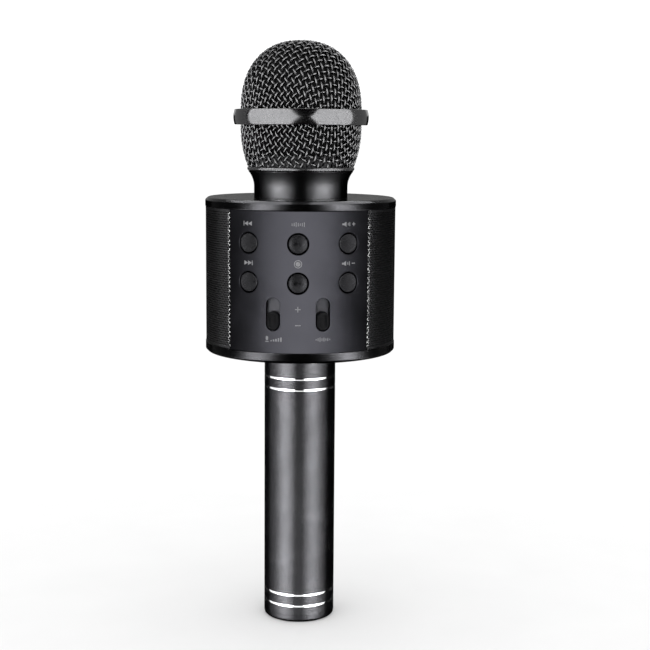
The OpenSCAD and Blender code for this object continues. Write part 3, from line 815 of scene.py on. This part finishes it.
# ---- side grilles ----
def perforated(width, z0, z1):
    """Flat staggered sheet as (points, faces): points are (along, z, depth)."""
    pitch, hole, thickness = 1.07, 0.37, 0.45
    row_h = pitch * sqrt(3) / 2
    half_u = width / 2
    rows = int((z1 - z0 - 2 * pitch) / row_h)
    start_z = (z0 + z1) / 2 - rows * row_h / 2
    centres = []
    for row in range(rows + 1):
        shift = pitch / 2 if row % 2 else 0
        reach = int((half_u - pitch * 0.6 - shift) / pitch)
        columns = np.arange(-reach - (1 if row % 2 else 0), reach + 1) * pitch + shift
        centres += [(u, start_z + row * row_h) for u in columns]
    centres = np.array(centres)
    corner = np.radians(30 + 60 * np.arange(6))
    ring = np.stack([np.cos(corner), np.sin(corner)], axis=1)
    outer = centres[:, None, :] + ring[None] * pitch / sqrt(3)
    keys = np.round(outer.reshape(-1, 2) * 200).astype(int)
    _, first, index = np.unique(keys, axis=0, return_index=True, return_inverse=True)
    outer_points = outer.reshape(-1, 2)[first]
    index = index.reshape(-1, 6)
    inner = (centres[:, None, :] + ring[None] * hole).reshape(-1, 2)
    flat = np.concatenate([outer_points, inner])
    count, offset = len(flat), len(outer_points)
    k = np.arange(6)
    nxt = (k + 1) % 6
    holes = offset + np.arange(len(centres))[:, None] * 6 + k
    front = np.stack([index[:, k], index[:, nxt], holes[:, nxt], holes[:, k]], axis=2)
    front = front.reshape(-1, 4)
    back = front[:, ::-1] + count
    walls = np.stack([holes[:, k], holes[:, nxt], holes[:, nxt] + count, holes[:, k] + count],
                     axis=2).reshape(-1, 4)
    sides = np.sort(np.stack([index[:, k], index[:, nxt]], axis=2).reshape(-1, 2), axis=1)
    edges, uses = np.unique(sides, axis=0, return_counts=True)
    rim = edges[uses == 1]
    rim_faces = np.stack([rim[:, 0], rim[:, 1], rim[:, 1] + count, rim[:, 0] + count], axis=1)
    points = np.concatenate([np.c_[flat, np.zeros(count)], np.c_[flat, np.full(count, thickness)]])
    return points, np.concatenate([front, back, walls, rim_faces]).tolist()


def make_side_grilles():
    """Perforated sheets whose upright edges roll inwards, with a plain hem above and below."""
    outer_r = drum_r - 0.2
    width = radians(92.4) * outer_r
    roll, roll_depth, fold_w = 1.6, 0.7, 1.3
    for side, node in ((-90, "left_grille"), (90, "right_grille")):
        z0, z1 = low(node).z, high(node).z
        points, faces = perforated(width, z0, z1)
        from_edge = np.clip(width / 2 - np.abs(points[:, 0]), 0, roll)
        dip = roll - np.sqrt(roll ** 2 - (roll - from_edge) ** 2)
        radius = outer_r - points[:, 2] - roll_depth * dip
        angle = radians(side) + points[:, 0] / outer_r
        verts = np.stack([radius * np.sin(angle), -radius * np.cos(angle), points[:, 1]], axis=1)
        sheet = piece(f"{node}_sheet", verts, faces, "grille_metal", nodes=[node])
        # Marks the folded edges, where grille_metal paints a highlight.
        mark(sheet.data, "fold", (from_edge < fold_w).astype(float))
        margin = 1.15
        strips = [rectangle(0, z, width - 0.8, margin, 0.1)
                  for z in (z0 + margin / 2, z1 - margin / 2)]
        bent_plate(f"{node}_hems", strips, [], outer_r + 0.02, 0.6, side, "grille_metal",
                   bevel=0.1)


# ---- rear panel ----
USB_Z, CARD_Z, CHARGE_Z, AUX_Z, SWITCH_Z = 167, 158.5, 150.5, 142, 131.5


def rear_icons():
    """Outlines and holes of the signs beside the sockets and the switch."""
    x, power_z = 10.5, SWITCH_Z - 0.1
    shapes = [
        rectangle(x, CARD_Z, 2.6, 2.0, 0.2),
        [(x + 0.5, CHARGE_Z + 1.5), (x - 0.9, CHARGE_Z - 0.2), (x - 0.1, CHARGE_Z - 0.2),
         (x - 0.5, CHARGE_Z - 1.5), (x + 0.9, CHARGE_Z + 0.3), (x + 0.1, CHARGE_Z + 0.3)],
        circle(x, AUX_Z, 1.2, 32),
        circle(x, AUX_Z, 0.4, 20),
        circle(x, power_z, 1.25, 32),
        rectangle(x, power_z + 1.9, 0.34, 1.0),
        icon_triangle(x + 0.3, USB_Z, 1.9, 2.0),
        rectangle(x - 1.3, USB_Z, 0.5, 2.0),
    ]
    holes = [rectangle(x, CARD_Z, 2.0, 1.4, 0.1), circle(x, AUX_Z, 0.9, 32),
             circle(x, power_z, 0.95, 32)]
    return shapes, holes


def make_rear_panel():
    holes = [rectangle(0, USB_Z, 13.8, 5.8, 0.4), rectangle(0, CARD_Z, 12.4, 2.4, 0.3),
             pill(0, CHARGE_Z, 9.2, 3.8), circle(0, AUX_Z, 3.2), pill(0, SWITCH_Z, 8, 3.6)]
    width = 2 * along(PANEL_HALF)
    plate = rectangle(0, (panel_z + panel_top) / 2, width, panel_top - panel_z, 0.3)
    bent_plate("back_panel", [plate], holes, drum_r, PANEL_T, 180, "panel_metal",
               nodes=["rear_panel"], bevel=0.22)
    shapes, cuts = rear_icons()
    bent_plate("back_signs", shapes, cuts, drum_r + 0.03, 0.05, 180, "bright_trim",
               bevel=0, look=INK)


# ---- neck and grille ----
def make_neck():
    """The collar, flared upwards from a straight foot, its thread and the seal above it."""
    height, foot_r, bore_r, straight, arc_r = 10.8, 19.6, 14.6, 4.2, 10
    spigot_r, spigot_bore_r, spigot_h, foot_h = 19.05, 17.2, 5, 5
    z0 = low("grille_seal").z - 0.05 - height
    top = z0 + height
    profile = [(bore_r, z0, 0.1), (foot_r, z0, 0.1), (foot_r, z0 + straight, 0)]
    for z in np.linspace(z0 + straight + 0.5, top, 16):
        profile.append((foot_r + arc_r - sqrt(arc_r ** 2 - (z - z0 - straight) ** 2), z, 0))
    profile[-1] = (profile[-1][0], top, 0.2)
    profile += [(spigot_r, top, 0.1), (spigot_r, top + spigot_h, 0.3),
                (spigot_bore_r, top + spigot_h, 0.2), (spigot_bore_r, z0 + foot_h, 0.1),
                (bore_r, z0 + foot_h, 0.1)]
    turned("neck", profile, "gloss_shell", nodes=["neck_collar"], steps=240, look=NECK)
    turns, pitch, thread_r, thread_rise, thread_z = 2.6, 1.5, 18.85, 0.22, top + 0.7
    steps = np.linspace(0, turns * 2 * pi, int(turns * 96))
    fade = np.clip(np.minimum(steps, steps[-1] - steps) / 0.8, 0, 1)
    radius = thread_r + thread_rise * fade
    path = np.stack([radius * np.cos(steps), radius * np.sin(steps),
                     thread_z + pitch * steps / (2 * pi)], axis=1)
    outward = np.stack([np.cos(steps), np.sin(steps), np.zeros_like(steps)], axis=1)
    verts, faces = swept(path, outward, 0.32, 8)
    piece("neck_thread", verts, faces, "gloss_shell", look=NECK)
    seal_low, seal_high = low("grille_seal").z, high("grille_seal").z
    turned("seal_ring", [(19.7, seal_low), (20.3, seal_low), (20.3, seal_high), (19.7, seal_high)],
           "seal_rubber", "grille_seal", ["grille_seal"], soften=0.28)


ring_z = low("grille_base_ring").z
band_z, band_top = low("grille_band").z, high("grille_band").z
dome_top = high("upper_grille").z
grille_r = high("upper_grille").x
dome_foot = 216.5
# The basket's outline is an arc with its centre beyond the axis, and straight above it.
ARC_R, ARC_OFFSET, ARC_TOP = 45.8, 20.5, 210


def dome_line(inset, steps=400):
    """Outline of the dome from its top down to its foot, then straight down to the band."""
    t = np.linspace(pi / 2, 0, steps)
    power = 2 / 2.3
    r = (grille_r - inset) * np.clip(np.cos(t), 0, 1) ** power
    z = dome_foot + (dome_top - dome_foot - inset) * np.sin(t) ** power
    r, z = np.append(r, grille_r - inset), np.append(z, band_z + 2)
    return r, z


def basket_line(inset, steps=120):
    """Outline of the lower basket from the band down to the base ring."""
    z = np.linspace(band_z + 2, ring_z + 1.9, steps)
    below = np.clip(ARC_TOP - z, 0, 40)
    return np.sqrt(ARC_R ** 2 - below ** 2) - ARC_OFFSET - inset, z


class Skin:
    """A surface of revolution addressed by distance on a flat map and azimuth."""

    def __init__(self, r, z, flat):
        self.flat = flat
        self.r, self.z = r, z
        dr, dz = np.gradient(r), np.gradient(z)
        size = np.hypot(dr, dz)
        self.nr, self.nz = np.abs(dz) / size, np.sign(dr) * np.abs(dr) / size

    def at(self, flat, direction, lift):
        """Points and outward normals at those flat distances, directions and lifts."""
        order = np.argsort(self.flat)
        r, z, nr, nz = (np.interp(flat, self.flat[order], values[order])
                        for values in (self.r, self.z, self.nr, self.nz))
        normal = np.stack([nr * direction[:, 0], nr * direction[:, 1], nz], axis=1)
        normal /= np.linalg.norm(normal, axis=1)[:, None]
        point = np.stack([r * direction[:, 0], r * direction[:, 1], z], axis=1)
        return point + normal * lift[:, None], normal


WIRE_PITCH, WIRE_R, WEAVE_LIFT = 2.7, 0.36, 0.36
WIRE_SIDES, WIRE_STEPS = 6, 6
WEAVE_TURN = 31


def woven(skin, inner, outer, family):
    """Wires of one family between two distances on the flat map, woven over and under."""
    angle = radians(WEAVE_TURN)
    one = np.array([sin(angle), -cos(angle)])
    two = np.array([-cos(angle), -sin(angle)])
    if family == 1:
        one, two = two, one
    parts, crowns = [], []
    for row in range(-int(outer / WIRE_PITCH), int(outer / WIRE_PITCH) + 1):
        across = row * WIRE_PITCH
        if abs(across) >= outer:
            continue
        reach = sqrt(outer ** 2 - across ** 2)
        runs = [(-reach, reach)]
        if abs(across) < inner:
            gap = sqrt(inner ** 2 - across ** 2)
            runs = [(-reach, -gap), (gap, reach)]
        for start, end in runs:
            if end - start < WIRE_PITCH:
                continue
            x = np.linspace(start, end, max(4, int((end - start) / WIRE_PITCH * WIRE_STEPS)))
            flat = x[:, None] * one + across * two
            distance = np.hypot(flat[:, 0], flat[:, 1])
            direction = flat / np.maximum(distance, 1e-6)[:, None]
            lift = WEAVE_LIFT * np.cos(pi * (x / WIRE_PITCH + row + family))
            points, normals = skin.at(distance, direction, lift)
            parts.append(swept(points, normals, WIRE_R, WIRE_SIDES))
            crowns.append(np.repeat(lift / WEAVE_LIFT, WIRE_SIDES))
    return together(parts), np.concatenate(crowns)


def make_grille():
    inset = WIRE_R + WEAVE_LIFT
    r, z = dome_line(inset)
    flat = np.concatenate([[0], np.cumsum(np.hypot(np.diff(r), np.diff(z)))])
    dome = Skin(r, z, flat)
    foot = flat[-1]
    r, z = basket_line(inset)
    down = np.concatenate([[0], np.cumsum(np.hypot(np.diff(r), np.diff(z)))])
    basket = Skin(r, z, foot - down)
    for half, skin, start in (("upper", dome, 0), ("lower", basket, foot - down[-1])):
        for family, name in enumerate(("warp", "weft")):
            (verts, faces), crowns = woven(skin, start, foot, family)
            wires = piece(f"{half}_{name}", verts, faces, "woven_wire", "grille_head",
                          [f"{half}_grille"], sharp=70)
            # The crown heights set the wire's painted highlight on top and painted shade
            # underneath.
            mark(wires.data, "crown", crowns)
    inner, outer, crown = grille_r - 1.4, high("grille_band").x, 0.5
    half = (band_top - band_z) / 2
    face = [(outer - crown * (h / half) ** 2, band_z + half + h, 0.25 if abs(h) == half else 0)
            for h in np.linspace(-half, half, 13)]
    turned("band", [(inner, band_z, 0.1)] + face + [(inner, band_top, 0.1)],
           "band_metal", "grille_head", ["grille_band"], steps=240)
    ring_r = high("grille_base_ring").x
    lip_top, spigot_foot, spigot_top = ring_z + 1.6, ring_z + 1.25, ring_z + 4.8
    bore_r, lip_r, spigot_r = 19.7, 20.4, 20.95
    turned("base_ring_lip", [(lip_r, ring_z, 0.1), (ring_r, ring_z, 0.6), (ring_r, lip_top, 0.6),
                             (lip_r, lip_top, 0.1)],
           "ring_metal", "grille_head", ["grille_base_ring"], steps=240)
    turned("base_ring_spigot", [(bore_r, spigot_foot, 0.1), (lip_r, spigot_foot, 0.1),
                                (lip_r, lip_top, 0.05), (spigot_r, lip_top, 0.1),
                                (spigot_r, spigot_top, 0.2), (bore_r, spigot_top, 0.2)],
           "inner_plastic", "grille_head", ["grille_base_ring"], steps=240)


def make_foam():
    """The foam liner, a shell with a slightly uneven skin."""
    gap, thickness, swell, middle = 1.45, 2.9, 0.1, 214
    foot = low("foam_windscreen").z + 0.1
    lines = []
    for inset in (gap, gap + thickness):
        dome = list(zip(*dome_line(inset, 70)))[:-1]
        basket = [(r - (0.3 if inset == gap else -0.3) * (z > 209.9), z)
                  for r, z in zip(*basket_line(inset, 40)) if z > foot]
        basket = [(min(r, dome[-1][0]), z) for r, z in basket]
        lines.append([(0, dome[0][1])] + dome[1:] + basket)
    verts, faces = revolved(lines[0] + lines[1][::-1], 144, closed=False)
    points = np.array(verts)
    radial = points - (0, 0, middle)
    wave = (np.sin(points[:, 0] * 2.1) * np.sin(points[:, 1] * 2.3 + 1)
            * np.sin(points[:, 2] * 1.9 + 2))
    outside = np.hypot(points[:, 0], points[:, 1])[:, None] > 0.01
    outward = radial / np.linalg.norm(radial, axis=1)[:, None]
    points -= outward * swell * (1 + wave[:, None]) * outside
    foam = piece("foam_liner", points, faces, "foam", "grille_head", ["foam_windscreen"], sharp=80)


# ---- pieces kept from the frame ----
def finish_frame_nodes():
    """Gives every CAD node the full material of its slot."""
    for node in frame["nodes"].values():
        for holder in node.material_slots:
            slot = holder.material.name.split(".")[0]
            holder.material = LOOKS.get(slot, holder.material)


make_handle()
make_covers()
make_front_panel()
make_buttons()
make_sliders()
make_side_grilles()
make_rear_panel()
make_neck()
make_grille()
make_foam()
finish_frame_nodes()


# ---- studio ----
CEILING_HEIGHT = 1.7


def pieces_with(name, looks):
    """A collection of the pieces with these materials, for a light to be linked to."""
    group = bpy.data.collections.new(name)
    for made in bpy.data.objects:
        slots = made.material_slots
        if made.type == "MESH" and slots and slots[0].material in looks:
            group.objects.link(made)
    return group


def emitter(name, verts, faces, glow, group):
    """A see-through light panel that shows only in the reflections of one group of pieces."""
    mesh = bare_mesh(name, verts, faces)
    mark(mesh, "glow", glow)
    material = bpy.data.materials.new(name)
    material.use_nodes = True
    tree = material.node_tree
    tree.nodes.clear()
    source = tree.nodes.new("ShaderNodeAttribute")
    source.attribute_name = "glow"
    shine = tree.nodes.new("ShaderNodeEmission")
    tree.links.new(source.outputs["Fac"], shine.inputs["Strength"])
    through = tree.nodes.new("ShaderNodeBsdfTransparent")
    both = tree.nodes.new("ShaderNodeAddShader")
    out = tree.nodes.new("ShaderNodeOutputMaterial")
    tree.links.new(shine.outputs[0], both.inputs[0])
    tree.links.new(through.outputs[0], both.inputs[1])
    tree.links.new(both.outputs[0], out.inputs[0])
    mesh.materials.append(material)
    made = placed(name, mesh)
    made.visible_camera = False
    made.visible_diffuse = False
    made.visible_shadow = False
    made.light_linking.receiver_collection = group
    return made


def softbox(name, group, start, end, peak, spread, dim, bright, taper=0.0, lean=0.0,
            low_deg=-42, high_deg=50, distance=1.2):
    """A curved softbox round the object between two azimuths, brightest at its peak.

    For each degree of elevation, taper moves its inner end away from the front, which gives
    it the pointed outline of an octagonal softbox. Below the eye, lean does so to the peak."""
    verts, glow = [], []
    columns, rows = 41, 25
    for lift in np.linspace(low_deg, high_deg, rows):
        first = start + copysign(taper * abs(lift), peak)
        middle = peak + copysign(lean * max(-lift, 0), peak)
        for a in np.linspace(first, end, columns):
            x, y = sin(radians(a)), -cos(radians(a))
            height = EYE_HEIGHT + tan(radians(lift)) * distance
            verts.append((x * distance, y * distance, height))
            glow.append(dim + (bright - dim) * exp(-(((a - middle) / spread) ** 2)))
    corners = [r * columns + k for r in range(rows - 1) for k in range(columns - 1)]
    faces = [(c, c + 1, c + columns + 1, c + columns) for c in corners]
    return emitter(name, verts, faces, glow, group)


def ceiling(name, group, left, right, near, far, glow):
    """A flat light above the object."""
    corners = [(x, y, CEILING_HEIGHT)
               for x, y in ((left, near), (right, near), (right, far), (left, far))]
    emitter(name, corners, [(0, 1, 2, 3)], [glow] * 4, group)


def light(name, looks, softboxes, ceilings=()):
    """Lights the pieces that have these looks, and no others."""
    group = pieces_with(f"{name}_group", looks)
    for part, *numbers in softboxes:
        softbox(f"{name}_{part}", group, *numbers)
    for part, numbers in enumerate(ceilings):
        ceiling(f"{name}_ceiling_{part}", group, *numbers)


def light_groups():
    """A studio for each kind of surface; the low rear softboxes only show from the back."""
    rear = [("rear_left", -165, -120, -142, 20, 0.6, 2.4, 0, 0, -50, -14),
            ("rear_right", 120, 165, 142, 20, 0.6, 2.4, 0, 0, -50, -14)]
    light("handle", HANDLE_LOOKS,
          [("left", -13, -111, -46, 24, 1.2, 10, 0.2),
           ("right", 13, 95, 46, 24, 1.2, 8.5, 0.2),
           ("front", -20, 20, 0, 40, 1.2, 1.2, 0, 0, -42, -16)] + rear)
    light("cover", [LOOKS["gloss_shell"]],
          [("left", -13, -130, -38, 15, 0.06, 9.5, 0, 1),
           ("right", 13, 130, 46, 15, 0.06, 10, 0, 1),
           ("back", 120, 240, 180, 60, 0.2, 0.25, 0, 0, 2, 50, 1.3)] + rear,
          [(-1.3, -0.17, -0.5, 1.2, 5), (0.17, 1.3, -0.5, 1.2, 5), (-0.6, 0.6, 0.7, 1.5, 8)])
    light("neck", [NECK],
          [("left", -14, -111, -56, 22, 0.5, 12, 0, 0, -82),
           ("right", 16, 111, 60, 24, 0.5, 11, 0, 0, -82)] + rear)
    light("control", CONTROL_LOOKS,
          [("left", -8, -111, -18, 24, 0.5, 1.9, 0.3),
           ("right", 10, 111, 20, 24, 0.5, 1.9, 0.3),
           ("back", 130, 230, 180, 60, 0.5, 0.7, 0, 0, -42, 50, 1.3)],
          [(-0.7, 0.7, -0.7, 0.7, 12)])
    others = HANDLE_LOOKS + CONTROL_LOOKS + PANEL_LOOKS + [LOOKS["gloss_shell"], NECK]
    light("detail", [look for look in bpy.data.materials if look not in others],
          [("left", -2, -98, -50, 40, 2.25, 2.25, 0.48),
           ("right", 17, 97, 44, 28, 2.25, 2.25, 0.48),
           ("rim_left", -104, -150, -120, 40, 0.25, 0.25),
           ("rim_right", 94, 150, 120, 40, 0.25, 0.25),
           ("back", 150, 210, 180, 60, 0.5, 0.7, 0, 0, 2, 50, 1.3)],
          [(-0.7, 0.7, -0.7, 0.7, 1.2)])


def panel_light(name, receiver, y, width, power):
    """A lamp for one control panel alone."""
    lamp = bpy.data.lights.new(name, "AREA")
    lamp.shape, lamp.size, lamp.size_y, lamp.energy = "RECTANGLE", width, 0.9, power
    made = placed(name, lamp)
    made.location = (-0.06 * y, y, 0.02)
    made.rotation_euler = (radians(97), 0, 0 if y < 0 else pi)
    group = bpy.data.collections.new(f"lit_by_{name}")
    group.objects.link(bpy.data.objects[receiver])
    made.light_linking.receiver_collection = group


def make_studio():
    light_groups()
    panel_light("front_lamp", "control_panel", -0.95, 1.8, 35)
    panel_light("rear_lamp", "back_panel", 0.95, 1, 18)
    world = bpy.data.worlds.new("studio")
    world.use_nodes = True
    sky = world.node_tree.nodes["Background"]
    sky.inputs["Color"].default_value = (1, 1, 1, 1)
    sky.inputs["Strength"].default_value = 1.2
    world.cycles_visibility.glossy = False
    bpy.context.scene.world = world
    reach = 60
    mesh = bare_mesh("floor", [(-reach, -reach, 0), (reach, -reach, 0), (reach, reach, 0),
                               (-reach, reach, 0)], [(0, 1, 2, 3)])
    look = Look("floor_paper", Roughness=0.9, Specular_IOR_Level=0.0)
    look.colour(look.blend(look.noise(40), (0.84, 0.84, 0.84), (0.88, 0.88, 0.88)))
    mesh.materials.append(look.material)
    floor = placed("floor", mesh)
    floor.visible_glossy = False
    floor.visible_shadow = False
    bpy.context.scene.view_settings.view_transform = "Standard"


make_studio()
